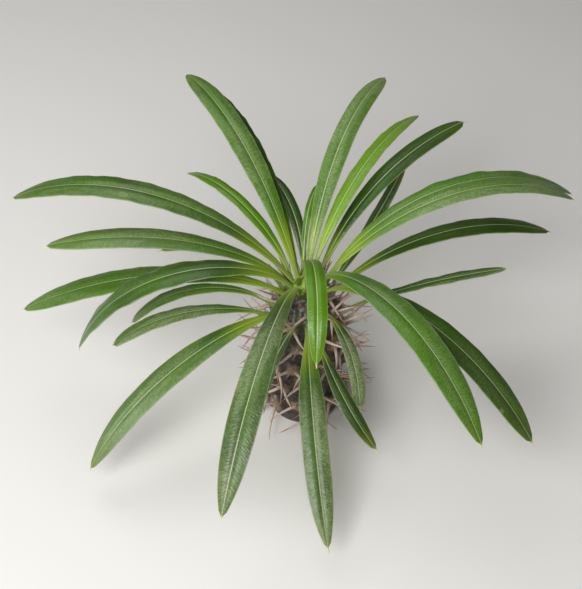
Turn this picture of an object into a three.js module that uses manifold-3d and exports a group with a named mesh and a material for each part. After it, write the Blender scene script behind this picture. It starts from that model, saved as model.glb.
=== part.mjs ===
// Madagascar palm (Pachypodium lamerei), a young plant without a pot, standing on its own stem foot.
// A swollen grey stem carries knobs in a spiral, three spines on each, and strap leaves round its tip.
// Units are millimetres and degrees, +Z is up, and the origin is the middle of the stem's flat foot.
// Azimuth 0 points along +X and 90 along +Y.

import * as THREE from 'three';
import Module from 'manifold-3d';

const wasm = await Module();
wasm.setup();

const DEG = Math.PI / 180;
const GOLDEN_ANGLE = 137.508 * DEG;

// ---- Driving dimensions: the stem ----

// Radius and height of the bare stem, from the foot to the growing tip.
const STEM_PROFILE = [
  [30, 0], [33, 7], [33.6, 20], [33.4, 34], [33.2, 48], [32.8, 62], [32.3, 76],
  [31.8, 90], [30.3, 103], [26.5, 116], [19, 128], [11.2, 138.5], [5.8, 146], [1.5, 149.5],
];
const STEM_SIDES = 40;
const STEM_LEVELS = 26;
const PLAIN_FOOT = 5;
const PLAIN_TIP = 8;

// ---- Driving dimensions: the knobs and their spines ----

const KNOB_TOP = 128;
const KNOB_LOWEST = 9;
const KNOB_COUNT = 60;
const KNOB_HEIGHT = 3.6;
const KNOB_SPREAD = 6.8;
// Knobs stray from the spiral, differ in size, and shrink above this height towards the crown.
const KNOB_STRAY = { turn: 5, rise: 1.6, size: 0.2 };
const KNOB_SHRINKS = 104;
const KNOB_TOP_SHARE = 0.5;
const CUSHION_HEIGHT = 2;
const CUSHION_SPREAD = 3.8;

// A knob's spines fan out to both sides and one points up; a crown pair stands between the leaf bases.
const KNOB_SPINES = { sides: [-52, 52, 0], tilts: [-8, -8, 38], shortest: 21, longest: 33 };
const CROWN_SPINES = { sides: [-28, 28], tilts: [34, 34], shortest: 17, longest: 28 };
const CROWN_PAIRS = 20;
const CROWN_LOWEST = 112;
const CROWN_TOP = 143;
const CROWN_TURN = 0.4;
const CROWN_LIFT = 28;
const SPINE_RADIUS = 1.25;
const SPINE_WAIST = 0.74;
const SPINE_TIP_RADIUS = 0.2;
const SPINE_SINK = 3.1;
const SKIN_DEPTH = 0.6;
const ROOT_SPACING = 2.6;
const SPINE_BOW = 0.09;
const SPINE_SCATTER = 16;
const SPINE_CLEARANCE = 1.9;
const SPINE_FLOOR = 2.5;
const SPINE_TRIES = 12;
const SPINE_CHECKS = [0, 0.25, 0.5, 0.75, 1];

// ---- Driving dimensions: the leaves ----

const LEAF_GAP = 0.3;
const ROOT_DEPTH = 4;
const STALK_END = 0.35;
const STALK_THICKNESS = 2.5;
const STALK_MARGIN = 1.25;
const STALK_WIDTH_SHARE = 0.2;
const BLADE_THICKNESS = 0.9;
const MARGIN_THICKNESS = 0.75;
const KEEL_DEPTH = 1.1;
const KEEL_LOSS = 0.6;
const GROOVE_DEPTH = 0.5;
const GROOVE_END = 0.8;
const CREST_PLACE = 0.4;
const CREST_RISE = 0.04;
const MARGIN_DROP = 0.08;
// Shares of the leaf's length where its blade starts to open and starts to close.
const BLADE_STARTS = 0.05;
const BLADE_OPENING = 1.2;
const BLADE_CLOSES = 0.57;
const TIP_SHARE = 0.04;
const SWEEP_DELAY = 1.3;
const LEAF_STEPS = 60;
const LEAF_STATIONS = [0, 3, 8, 15, 23, 31, 39, 46, 52, 56, 58, 60];

// Each leaf: azimuth of its heading, azimuth and height of its base, length, rise at the base, droop
// at the tip, how early it bends (under 1 is early), sideways sweep, width of its blade, the share of
// its length where the blade is fully open, and how blunt its tip is.
const LEAF_FIELDS = [
  'az', 'base', 'z', 'length', 'rise', 'droop', 'bend', 'sweep', 'width', 'opens', 'blunt',
];
const LEAVES = [
  [169, 156, 141, 280, 57, -38, 0.98, -6.5, 26, 0.6, 4.7],
  [176, 175, 138, 222, 75, -20, 0.44, -0.5, 24, 0.66, 4.2],
  [173.5, 158, 130, 125, 61.5, -32, 1.05, -1, 11, 0.6, 4],
  [177.5, 184, 132, 243, 47.5, -34.5, 0.47, -2.5, 27.5, 0.68, 4.6],
  [191, 200, 141, 237, 59, -74, 0.76, -15.5, 26.5, 0.55, 4.6],
  [182.5, 182, 119, 144, 48, -59, 0.92, 2, 14, 0.7, 5.6],
  [193, 196, 114, 151, 30.5, -47.5, 1.16, -6, 16.5, 0.7, 6],
  [213.5, 213, 122, 227, 22, -64.5, 0.75, -11, 25.5, 0.5, 3.7],
  [254.5, 240, 142, 251, 72, -47.5, 0.53, 0, 24.5, 0.7, 3.6],
  [238, 258, 122, 88, 14, -62, 0.7, 10, 9, 0.5, 4],
  [281.5, 274, 146, 166, 95, -75, 1, -17, 15.5, 0.6, 4.2],
  [272, 273, 119, 188, 12.5, -41, 0.26, 9.5, 21.5, 0.42, 3],
  [288.5, 289, 108, 111, -7.5, -29.5, 0.4, 26, 14, 0.6, 3],
  [307, 316, 126, 98, 24.5, -76, 0.53, -29.5, 12, 0.5, 5],
  [312, 310, 144, 246, 88.5, -46.5, 0.53, -12, 25.5, 0.56, 3.4],
  [324.5, 332, 136, 244, 72.5, -51.5, 0.52, -6.5, 24, 0.6, 4.8],
  [0, 0, 111, 149, 31, 10.5, 0.88, -1, 11, 0.7, 4.4],
  [16, 14, 126, 216, 47, -32.5, 0.93, -0.5, 20, 0.68, 4.4],
  [17.5, 4, 139, 263, 55.5, -43, 1.08, 0.5, 20, 0.6, 4.5],
  [23, 34, 130, 269, 66.5, -42.5, 0.89, -8, 20, 0.6, 4.5],
  [52, 52, 111, 137, 17.5, 38.5, 0.81, 3, 11, 0.6, 4],
  [54, 54, 132, 203, 69.5, 0.5, 0.47, -22.5, 19, 0.66, 6.5],
  [60, 56, 143, 216, 65.5, -25.5, 0.72, -2, 14, 0.45, 3.2],
  [74, 84, 141, 218, 61.5, -15.5, 1.02, -13.5, 19, 0.52, 5.5],
  [88.5, 110, 146, 116, 82, -33, 0.64, -19.5, 6, 0.5, 4],
  [96, 92, 135, 104, 70, 3, 0.71, 32.5, 12, 0.6, 4],
  [121, 128, 141, 235, 60, -19.5, 1.12, -2.5, 21.5, 0.55, 4.4],
  [112, 112, 134, 228, 71.5, -13.5, 0.64, 8.5, 17, 0.6, 4],
  [136, 140, 137, 169, 72, -37.5, 0.79, -10.5, 12, 0.46, 2.8],
].map((row) => Object.fromEntries(LEAF_FIELDS.map((field, i) => [field, row[i]])));
const YOUNG_LEAVES = [11, 23, 25, 29];

// ---- Driving dimensions: the bud of furled leaflets at the very tip ----

const BUD_LEAFLETS = 4;
const BUD_LENGTH = 19;
const BUD_SHORTENING = 0.13;
const BUD_LEAN = 15;
const BUD_FOOT = 0.6;
const BUD_TURN = 30;
const BUD_WIDTH = 3;
const BUD_THICKNESS = 1.6;
const BUD_SECTIONS = [
  { share: -0.25, width: 0.9 },
  { share: 0.3, width: 1 },
  { share: 0.75, width: 0.7 },
  { share: 1, width: 0.15 },
];

const SEED = 20;

// ---- Materials ----

const stemSkin = () => new THREE.MeshStandardMaterial({ color: 0x80746a, roughness: 0.62, metalness: 0 });
const leafSkin = () => new THREE.MeshStandardMaterial({ color: 0x4c7a2c, roughness: 0.42, metalness: 0 });
const youngSkin = () => new THREE.MeshStandardMaterial({ color: 0x7fab2c, roughness: 0.4, metalness: 0 });

// ---- Small helpers ----

const clamp = (value, low, high) => Math.min(Math.max(value, low), high);
const mix = (a, b, share) => a + (b - a) * share;

// A repeatable stream of numbers from 0 to 1.
function randomStream(seed) {
  let state = seed;
  return () => {
    state = (state * 1664525 + 1013904223) % 4294967296;
    return state / 4294967296;
  };
}

// The unit vector at an azimuth and an elevation, both in radians.
function direction(azimuth, elevation) {
  const level = Math.cos(elevation);
  return new THREE.Vector3(level * Math.cos(azimuth), level * Math.sin(azimuth), Math.sin(elevation));
}

// Joins equal rings of points, each counter-clockwise seen from the last ring, into one closed solid.
// The points from index `mirrored` on lie under the first ones, and their quads are split the same way.
function loft(rings, mirrored = Infinity) {
  const count = rings[0].length;
  const triangles = [];
  for (let i = 0; i + 1 < rings.length; i++) {
    for (let j = 0; j < count; j++) {
      const next = (j + 1) % count;
      const [a, b] = [i * count + j, i * count + next];
      const [c, d] = [b + count, a + count];
      if (j < mirrored) triangles.push([a, b, c], [a, c, d]);
      else triangles.push([a, b, d], [b, c, d]);
    }
  }
  const last = (rings.length - 1) * count;
  for (let j = 0; j < count / 2 - 1; j++) {
    const [a, b, c, d] = [j, j + 1, count - 2 - j, count - 1 - j];
    triangles.push([a, d, c], [last + a, last + c, last + d]);
    if (b !== c) triangles.push([a, c, b], [last + a, last + b, last + c]);
  }
  return { points: rings.flat(), triangles };
}

function toSolid({ points, triangles }) {
  const vertProperties = new Float32Array(points.flatMap((p) => [p.x, p.y, p.z]));
  const triVerts = new Uint32Array(triangles.flat());
  return new wasm.Manifold(new wasm.Mesh({ numProp: 3, vertProperties, triVerts }));
}

function toGeometry(solid) {
  const { vertProperties, triVerts } = solid.getMesh();
  const geometry = new THREE.BufferGeometry();
  geometry.setAttribute('position', new THREE.BufferAttribute(Float32Array.from(vertProperties), 3));
  geometry.setIndex(new THREE.BufferAttribute(Uint32Array.from(triVerts), 1));
  geometry.computeVertexNormals();
  return geometry;
}

function largestPiece(solid) {
  return solid.decompose().reduce((a, b) => (b.volume() > a.volume() ? b : a));
}

// ---- The stem ----

const stemCurve = new THREE.SplineCurve(STEM_PROFILE.map(([r, z]) => new THREE.Vector2(r, z)));
const stemOutline = stemCurve.getPoints(STEM_LEVELS);

// The smooth stem's radius at a height.
function stemRadius(z) {
  for (let i = 1; i < stemOutline.length; i++) {
    const [low, high] = [stemOutline[i - 1], stemOutline[i]];
    if (z <= high.y) return mix(low.x, high.x, clamp((z - low.y) / (high.y - low.y), 0, 1));
  }
  return stemOutline.at(-1).x;
}

// Knobs climb the stem near the golden angle, and each leaf base sits on a small cushion.
function strayKnobs() {
  const random = randomStream(SEED);
  const stray = (most) => (random() - 0.5) * 2 * most;
  return Array.from({ length: KNOB_COUNT }, (_, k) => {
    const azimuth = k * GOLDEN_ANGLE + stray(KNOB_STRAY.turn) * DEG;
    const z = mix(KNOB_TOP, KNOB_LOWEST, k / (KNOB_COUNT - 1)) + stray(KNOB_STRAY.rise);
    const shrink = clamp((z - KNOB_SHRINKS) / (KNOB_TOP - KNOB_SHRINKS), 0, 1);
    const size = mix(1, KNOB_TOP_SHARE, shrink) * (1 + stray(KNOB_STRAY.size));
    return { azimuth, z, height: KNOB_HEIGHT * size, spread: KNOB_SPREAD * size };
  });
}

const knobs = strayKnobs();
const cushions = LEAVES.map(({ base, z }) => ({
  azimuth: base * DEG,
  z,
  height: CUSHION_HEIGHT,
  spread: CUSHION_SPREAD,
}));

// How far the knobs and cushions stand out of the smooth stem.
function stemRelief(azimuth, z, radius) {
  let relief = 0;
  for (const bump of [...knobs, ...cushions]) {
    const turn = Math.atan2(Math.sin(azimuth - bump.azimuth), Math.cos(azimuth - bump.azimuth));
    const away = Math.hypot(turn * radius, z - bump.z) / bump.spread;
    relief = Math.max(relief, bump.height * Math.exp(-away * away));
  }
  return relief;
}

// The stem as rings of points. `proud` moves its skin out, which makes the tool that trims the leaves.
function stemLoft(proud = 0) {
  const rings = stemOutline.map(({ x: radius, y: z }) => {
    const fade = clamp(z / PLAIN_FOOT, 0, 1) * clamp(radius / PLAIN_TIP, 0, 1);
    return Array.from({ length: STEM_SIDES }, (_, i) => {
      const azimuth = (i / STEM_SIDES) * 2 * Math.PI;
      const reach = radius + proud + fade * stemRelief(azimuth, z, radius);
      return new THREE.Vector3(reach * Math.cos(azimuth), reach * Math.sin(azimuth), z);
    });
  });
  rings.at(-1).forEach((point) => point.setZ(point.z + proud));
  return loft(rings);
}

// ---- The leaves ----

// Half the blade's width at a share t of the leaf's length.
function halfWidth({ width, opens, blunt }, t) {
  const opened = clamp((t - BLADE_STARTS) / (opens - BLADE_STARTS), 0, 1);
  const opening = Math.sin((Math.PI / 2) * opened) ** BLADE_OPENING;
  const closing = clamp((t - BLADE_CLOSES) / (1 - BLADE_CLOSES), 0, 1) ** blunt;
  return (width / 2) * mix(STALK_WIDTH_SHARE, 1, opening) * Math.max(1 - closing, TIP_SHARE);
}

// The way on along a leaf at a share t of its length, with its heading.
function leafWay(leaf, t) {
  const heading = (leaf.az + leaf.sweep * t ** SWEEP_DELAY) * DEG;
  const elevation = mix(leaf.rise, leaf.droop, t ** leaf.bend) * DEG;
  return { heading, along: direction(heading, elevation) };
}

// The leaf's midrib as frames: a place, the way on, the way across and the way up from the blade.
function leafFrames(leaf) {
  const attach = stemRadius(leaf.z);
  const place = direction(leaf.base * DEG, 0).multiplyScalar(attach).setZ(leaf.z);
  const step = leaf.length / LEAF_STEPS;
  const frames = [];
  for (let i = 0; i <= LEAF_STEPS; i++) {
    const t = i / LEAF_STEPS;
    const { heading, along } = leafWay(leaf, t);
    const across = new THREE.Vector3(-Math.sin(heading), Math.cos(heading), 0);
    frames.push({ t, place: place.clone(), along, across, up: along.clone().cross(across) });
    place.addScaledVector(leafWay(leaf, t + 0.5 / LEAF_STEPS).along, step);
  }
  return frames;
}

// One section of a leaf: a sunk midrib, a crest on each side, margins turned down and a keel below.
function leafSection(leaf, { t, place, across, up }) {
  const half = halfWidth(leaf, t);
  const stalk = (1 - clamp(t / STALK_END, 0, 1)) ** 2;
  const thickness = mix(BLADE_THICKNESS, STALK_THICKNESS, stalk);
  const margin = mix(MARGIN_THICKNESS, STALK_MARGIN, stalk);
  const fade = 1 - clamp((t - GROOVE_END) / (1 - GROOVE_END), 0, 1);
  const crest = CREST_RISE * half;
  const drop = MARGIN_DROP * half;
  const groove = GROOVE_DEPTH * fade;
  const keel = thickness + KEEL_DEPTH * fade * (1 - KEEL_LOSS * t);
  const outline = [
    [-1, -drop], [-CREST_PLACE, crest], [0, -groove], [CREST_PLACE, crest], [1, -drop],
    [1, -drop - margin], [CREST_PLACE, crest - thickness], [0, -groove - keel],
    [-CREST_PLACE, crest - thickness], [-1, -drop - margin],
  ];
  return outline.map(([s, n]) => place.clone().addScaledVector(across, s * half).addScaledVector(up, n));
}

function leafSolid(leaf, stemTool) {
  const frames = leafFrames(leaf);
  const [base] = frames;
  const root = { ...base, place: base.place.clone().addScaledVector(base.along, -ROOT_DEPTH) };
  const stations = [root, ...LEAF_STATIONS.map((i) => frames[i])];
  const sections = stations.map((frame) => leafSection(leaf, frame).reverse());
  return largestPiece(toSolid(loft(sections, sections[0].length / 2)).subtract(stemTool));
}

// ---- The spines ----

const leafPaths = LEAVES.map((leaf) => ({ leaf, frames: leafFrames(leaf) }));

// True where a point is clear of every leaf by the given margin.
function clearOfLeaves(point, margin) {
  return leafPaths.every(({ leaf, frames }) => frames.every(({ t, place, along, across, up }) => {
    const offset = point.clone().sub(place);
    if (Math.abs(offset.dot(along)) > leaf.length / LEAF_STEPS) return true;
    const beside = Math.abs(offset.dot(across)) > halfWidth(leaf, t) + margin;
    const above = offset.dot(up) > MARGIN_DROP * leaf.width + margin;
    const below = -offset.dot(up) > STALK_THICKNESS + KEEL_DEPTH + margin;
    return beside || above || below;
  }));
}

// Four points along a spine: sunk root, skin, bowed middle and tip.
function spinePath(azimuth, z, way, length, bow) {
  const radius = stemRadius(z) + stemRelief(azimuth, z, stemRadius(z));
  const skin = direction(azimuth, 0).multiplyScalar(radius - SKIN_DEPTH).setZ(z);
  const root = skin.clone().addScaledVector(way, SKIN_DEPTH - SPINE_SINK);
  const tip = skin.clone().addScaledVector(way, length);
  const sideways = new THREE.Vector3(0, 0, 1).cross(way).normalize();
  const middle = skin.clone().lerp(tip, 0.5).addScaledVector(sideways, bow * length);
  return { root, skin, middle, tip, way };
}

function spineIsClear({ skin, middle, tip }) {
  const checks = SPINE_CHECKS.flatMap((share) => [
    skin.clone().lerp(middle, share),
    middle.clone().lerp(tip, share),
  ]);
  return tip.z > SPINE_FLOOR && checks.every((point) => clearOfLeaves(point, SPINE_CLEARANCE));
}

// A three-sided tapering spine along its path.
function spineSolid({ root, middle, tip, way }) {
  const across = new THREE.Vector3(-way.y, way.x, 0).normalize();
  const up = way.clone().cross(across);
  const stations = [[root, SPINE_RADIUS], [middle, SPINE_RADIUS * SPINE_WAIST], [tip, SPINE_TIP_RADIUS]];
  const rings = stations.map(([centre, radius]) => [0, 120, 240].map((turn) => centre.clone()
    .addScaledVector(across, radius * Math.cos(turn * DEG))
    .addScaledVector(up, radius * Math.sin(turn * DEG))));
  return toSolid(loft(rings));
}

// Draws spines on a spot until each one is clear of the leaves and the ground, or the tries run out.
// They stand up more towards the crown.
function spinesAt({ azimuth, z }, { sides, tilts, shortest, longest }, random) {
  const scatter = (most) => (random() - 0.5) * 2 * most;
  const lift = CROWN_LIFT * clamp((z - CROWN_LOWEST) / (CROWN_TOP - CROWN_LOWEST), 0, 1);
  const paths = [];
  sides.forEach((side, i) => {
    const rootAzimuth = azimuth + (Math.sign(side) * ROOT_SPACING) / stemRadius(z);
    const rootZ = z + (side === 0 ? ROOT_SPACING : 0);
    for (let attempt = 0; attempt < SPINE_TRIES; attempt++) {
      const most = SPINE_SCATTER * (1 + attempt / SPINE_TRIES);
      const heading = azimuth + (side + scatter(most)) * DEG;
      const tilt = (tilts[i] + lift + scatter(most)) * DEG;
      const length = mix(shortest, longest, random());
      const path = spinePath(rootAzimuth, rootZ, direction(heading, tilt), length, scatter(SPINE_BOW));
      if (!spineIsClear(path)) continue;
      paths.push(path);
      return;
    }
  });
  return paths;
}

// Every spine of the plant: threes on the knobs, and pairs between the leaf bases round the crown.
function allSpines() {
  const random = randomStream(SEED);
  const crown = Array.from({ length: CROWN_PAIRS }, (_, k) => ({
    azimuth: (k + CROWN_TURN) * GOLDEN_ANGLE,
    z: mix(CROWN_LOWEST, CROWN_TOP, (k + 1) / CROWN_PAIRS),
  }));
  return [
    ...knobs.flatMap((knob) => spinesAt(knob, KNOB_SPINES, random)),
    ...crown.flatMap((spot) => spinesAt(spot, CROWN_SPINES, random)),
  ];
}

// ---- The bud ----

// Furled leaflets that stand in a ring on the stem's tip, joined at their feet.
function budSolid(stemTool) {
  const top = STEM_PROFILE.at(-1)[1];
  const leaflets = Array.from({ length: BUD_LEAFLETS }, (_, k) => {
    const azimuth = (BUD_TURN + (k * 360) / BUD_LEAFLETS) * DEG;
    const outward = direction(azimuth, 0);
    const sideways = direction(azimuth + Math.PI / 2, 0);
    const length = BUD_LENGTH * (1 - BUD_SHORTENING * k);
    const rings = BUD_SECTIONS.map(({ share, width }) => {
      const lean = Math.max(share, 0) * length * Math.tan(BUD_LEAN * share * DEG);
      const centre = outward.clone().multiplyScalar(BUD_FOOT + lean).setZ(top + share * length);
      return [0, 90, 180, 270].map((turn) => centre.clone()
        .addScaledVector(outward, (BUD_THICKNESS / 2) * width * Math.cos(turn * DEG))
        .addScaledVector(sideways, (BUD_WIDTH / 2) * width * Math.sin(turn * DEG)));
    });
    return toSolid(loft(rings));
  });
  return largestPiece(wasm.Manifold.union(leaflets).subtract(stemTool));
}

// ---- The plant ----

const stemTool = toSolid(stemLoft(LEAF_GAP));
const plant = new THREE.Group();

function addPiece(name, solid, material) {
  const mesh = new THREE.Mesh(toGeometry(solid), material);
  mesh.name = name;
  plant.add(mesh);
}

const stem = wasm.Manifold.union([toSolid(stemLoft()), ...allSpines().map(spineSolid)]);
addPiece('stem', stem, stemSkin());
addPiece('bud', budSolid(stemTool), youngSkin());
LEAVES.forEach((leaf, i) => {
  const material = YOUNG_LEAVES.includes(i + 1) ? youngSkin() : leafSkin();
  addPiece(`leaf_${String(i + 1).padStart(2, '0')}`, leafSolid(leaf, stemTool), material);
});

export default plant;
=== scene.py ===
# A young Madagascar palm: the finish of its stem, spines and leaves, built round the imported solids.
# The file is laid out as a Blender add-on and is run as a script. Shapes are worked out in millimetres,
# with the same numbers as the solids, and turned to metres as each mesh is made.
import math
import random
from functools import partial

import bmesh
import bpy
import numpy as np
from bpy.props import FloatProperty, FloatVectorProperty, PointerProperty
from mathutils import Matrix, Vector, noise


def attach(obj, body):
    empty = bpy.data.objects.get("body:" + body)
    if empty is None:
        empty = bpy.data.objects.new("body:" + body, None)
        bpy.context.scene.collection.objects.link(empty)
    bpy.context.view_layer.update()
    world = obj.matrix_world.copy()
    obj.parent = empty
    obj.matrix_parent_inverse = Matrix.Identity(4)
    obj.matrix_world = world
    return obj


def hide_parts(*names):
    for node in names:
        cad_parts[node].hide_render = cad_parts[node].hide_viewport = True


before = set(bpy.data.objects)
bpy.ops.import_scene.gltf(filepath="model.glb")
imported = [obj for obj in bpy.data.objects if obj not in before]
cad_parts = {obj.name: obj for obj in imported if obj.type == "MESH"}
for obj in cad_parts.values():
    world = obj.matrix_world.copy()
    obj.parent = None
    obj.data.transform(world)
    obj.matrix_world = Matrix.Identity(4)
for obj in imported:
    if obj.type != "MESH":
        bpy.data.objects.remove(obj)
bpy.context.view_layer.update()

bl_info = {
    "name": "Madagascar Palm",
    "version": (1, 0, 0),
    "blender": (4, 5, 0),
    "location": "View3D > Sidebar > Palm",
    "description": "Builds a young Madagascar palm with its knobs, spines and strap leaves",
    "category": "Add Mesh",
}

MM = 0.001
BODY = "root"
GOLDEN_ANGLE = math.radians(137.508)

# ---- The stem's sizes ----

# Radius and height of the bare stem, from the foot to the growing tip.
STEM_PROFILE = [
    (30, 0), (33, 7), (33.6, 20), (33.4, 34), (33.2, 48), (32.8, 62), (32.3, 76),
    (31.8, 90), (30.3, 103), (26.5, 116), (19, 128), (11.2, 138.5), (5.8, 146), (1.5, 149.5),
]
STEM_LEVELS = 26
STEM_FINE_LEVELS = 190
STEM_FINE_SIDES = 220
PLAIN_FOOT = 5
PLAIN_TIP = 8
KNOB_TOP = 128
KNOB_LOWEST = 9
KNOB_COUNT = 60
KNOB_HEIGHT = 3.6
KNOB_SPREAD = 6.8
# Knobs stray from the spiral, differ in size, and shrink above this height towards the crown.
KNOB_STRAY = {"turn": 5, "rise": 1.6, "size": 0.2}
KNOB_SHRINKS = 104
KNOB_TOP_SHARE = 0.5
CUSHION_HEIGHT = 2
CUSHION_SPREAD = 3.8
# The folds lie where the knobs stand out less than this, and run out below the crown's top.
FOLD_RELIEF = 0.9
FOLDS_END = 12
PAD_SPREAD = 1.7
# Wrinkles are noise on a cylinder of this radius, pressed flat so that they run round the stem.
WRINKLE_RADIUS = 32
WRINKLE_FLATNESS = 2.6
WRINKLE_FRACTAL = (0.8, 2.1, 4)
# How much the wrinkles count in the bark's colour: their ridges get painted highlight and their troughs
# painted shade.
WRINKLE_TINT = 0.8

# ---- The spines' sizes ----

KNOB_SPINES = {"sides": (-52, 52, 0), "tilts": (-8, -8, 38), "shortest": 21, "longest": 33}
CROWN_SPINES = {"sides": (-28, 28), "tilts": (34, 34), "shortest": 17, "longest": 28}
CROWN_PAIRS = 20
CROWN_LOWEST = 112
CROWN_TOP = 143
CROWN_TURN = 0.4
CROWN_LIFT = 28
SPINE_SINK = 3.1
SKIN_DEPTH = 0.6
ROOT_SPACING = 2.6
SPINE_BOW = 0.09
SPINE_SCATTER = 16
SPINE_CLEARANCE = 1.9
SPINE_FLOOR = 2.5
SPINE_TRIES = 12
SPINE_CHECKS = (0, 0.25, 0.5, 0.75, 1)
SPINE_SIDES = 8
SPINE_RINGS = 14
# A spine tapers slowly at first, flares over its root, and thins out in its last tenth.
SPINE_TAPER = 1.4
SPINE_FLARE = 0.3
FLARE_SHARE = 0.14
POINT_SHARE = 0.1
POINT_LOSS = 0.4
SEED = 20

# ---- The wool's sizes ----

# Hairs of this many rings and sides, thinning from the first radius to the last. They stand this far from
# the spine's middle and this deep in the skin, and differ in length by these shares.
HAIRS_AT_SPINE = 5
HAIR_RINGS = 4
HAIR_SIDES = 3
HAIR_RADII = (0.1, 0.03)
HAIR_PLACES = (0.8, 1.7)
HAIR_SINK = 0.4
HAIR_LENGTHS = (0.5, 1.1)
HAIR_RISE = 1.2
HAIR_LEANS = (0.1, 0.8)
HAIR_BENDS = (-0.2, 0.5)
HAIR_BOW = 0.3

# ---- The leaves' sizes ----

ROOT_DEPTH = 4
STALK_END = 0.35
STALK_THICKNESS = 2.5
STALK_MARGIN = 1.25
STALK_WIDTH_SHARE = 0.2
BLADE_THICKNESS = 0.9
MARGIN_THICKNESS = 0.75
KEEL_DEPTH = 1.1
KEEL_LOSS = 0.6
GROOVE_DEPTH = 0.5
GROOVE_END = 0.8
CREST_PLACE = 0.4
CREST_RISE = 0.04
MARGIN_DROP = 0.08
# Shares of the leaf's length where its blade starts to open and starts to close.
BLADE_STARTS = 0.05
BLADE_OPENING = 1.2
BLADE_CLOSES = 0.57
TIP_SHARE = 0.04
SWEEP_DELAY = 1.3
LEAF_STEPS = 60

# Each leaf: azimuth of its heading, azimuth and height of its base, length, rise at the base, droop at
# the tip, how early it bends (under 1 is early), sideways sweep, width of its blade, the share of its
# length where the blade is fully open, and how blunt its tip is.
LEAF_FIELDS = ("az", "base", "z", "length", "rise", "droop", "bend", "sweep", "width", "opens", "blunt")
LEAVES = [dict(zip(LEAF_FIELDS, row)) for row in (
    (169, 156, 141, 280, 57, -38, 0.98, -6.5, 26, 0.6, 4.7),
    (176, 175, 138, 222, 75, -20, 0.44, -0.5, 24, 0.66, 4.2),
    (173.5, 158, 130, 125, 61.5, -32, 1.05, -1, 11, 0.6, 4),
    (177.5, 184, 132, 243, 47.5, -34.5, 0.47, -2.5, 27.5, 0.68, 4.6),
    (191, 200, 141, 237, 59, -74, 0.76, -15.5, 26.5, 0.55, 4.6),
    (182.5, 182, 119, 144, 48, -59, 0.92, 2, 14, 0.7, 5.6),
    (193, 196, 114, 151, 30.5, -47.5, 1.16, -6, 16.5, 0.7, 6),
    (213.5, 213, 122, 227, 22, -64.5, 0.75, -11, 25.5, 0.5, 3.7),
    (254.5, 240, 142, 251, 72, -47.5, 0.53, 0, 24.5, 0.7, 3.6),
    (238, 258, 122, 88, 14, -62, 0.7, 10, 9, 0.5, 4),
    (281.5, 274, 146, 166, 95, -75, 1, -17, 15.5, 0.6, 4.2),
    (272, 273, 119, 188, 12.5, -41, 0.26, 9.5, 21.5, 0.42, 3),
    (288.5, 289, 108, 111, -7.5, -29.5, 0.4, 26, 14, 0.6, 3),
    (307, 316, 126, 98, 24.5, -76, 0.53, -29.5, 12, 0.5, 5),
    (312, 310, 144, 246, 88.5, -46.5, 0.53, -12, 25.5, 0.56, 3.4),
    (324.5, 332, 136, 244, 72.5, -51.5, 0.52, -6.5, 24, 0.6, 4.8),
    (0, 0, 111, 149, 31, 10.5, 0.88, -1, 11, 0.7, 4.4),
    (16, 14, 126, 216, 47, -32.5, 0.93, -0.5, 20, 0.68, 4.4),
    (17.5, 4, 139, 263, 55.5, -43, 1.08, 0.5, 20, 0.6, 4.5),
    (23, 34, 130, 269, 66.5, -42.5, 0.89, -8, 20, 0.6, 4.5),
    (52, 52, 111, 137, 17.5, 38.5, 0.81, 3, 11, 0.6, 4),
    (54, 54, 132, 203, 69.5, 0.5, 0.47, -22.5, 19, 0.66, 6.5),
    (60, 56, 143, 216, 65.5, -25.5, 0.72, -2, 14, 0.45, 3.2),
    (74, 84, 141, 218, 61.5, -15.5, 1.02, -13.5, 19, 0.52, 5.5),
    (88.5, 110, 146, 116, 82, -33, 0.64, -19.5, 6, 0.5, 4),
    (96, 92, 135, 104, 70, 3, 0.71, 32.5, 12, 0.6, 4),
    (121, 128, 141, 235, 60, -19.5, 1.12, -2.5, 21.5, 0.55, 4.4),
    (112, 112, 134, 228, 71.5, -13.5, 0.64, 8.5, 17, 0.6, 4),
    (136, 140, 137, 169, 72, -37.5, 0.79, -10.5, 12, 0.46, 2.8),
)]
YOUNG_LEAVES = (11, 23, 25, 29)
WAVY_LEAVES = {28: 3.0, 20: 1.8, 5: 1.8}
# What sets each leaf apart: its wax film, the depth of its green, and its tip's yellowing. Each is about
# 0 to 1, and a depth past that is paler or darker still. The film and the depth also paint the light on each
# leaf: more film as painted sheen and a paler green as painted light on lit leaves, a deeper green as
# painted shade on shaded ones.
LEAF_STATES = (
    (0.4, 0.4, 0.1), (0.75, 0.2, 0.1), (0.35, 0.85, 1.0), (0.4, 0.2, 0.0), (0.15, 0.6, 0.0),
    (0.55, 0.0, 0.1), (1.0, 0.35, 0.0), (0.55, 0.4, 0.2), (0.8, 0.7, 0.1), (0.5, 1.0, 0.2),
    (0.0, 0.95, 0.1), (1.0, 0.6, 0.1), (0.25, 1.1, 0.35), (1.0, 0.8, 0.1), (0.35, 0.2, 0.1),
    (0.25, 0.65, 0.1), (0.3, 0.7, 0.1), (0.15, 0.7, 0.1), (1.0, -0.3, 0.0), (0.4, 0.0, 0.1),
    (0.1, 1.1, 0.2), (0.05, 0.75, 0.1), (0.45, -0.2, 0.1), (0.85, 0.0, 0.1), (0.0, 1.5, 0.4),
    (0.1, 1.5, 0.1), (0.55, 0.1, 0.1), (0.0, 0.5, 0.1), (0.0, 1.0, 0.2),
)

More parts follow.
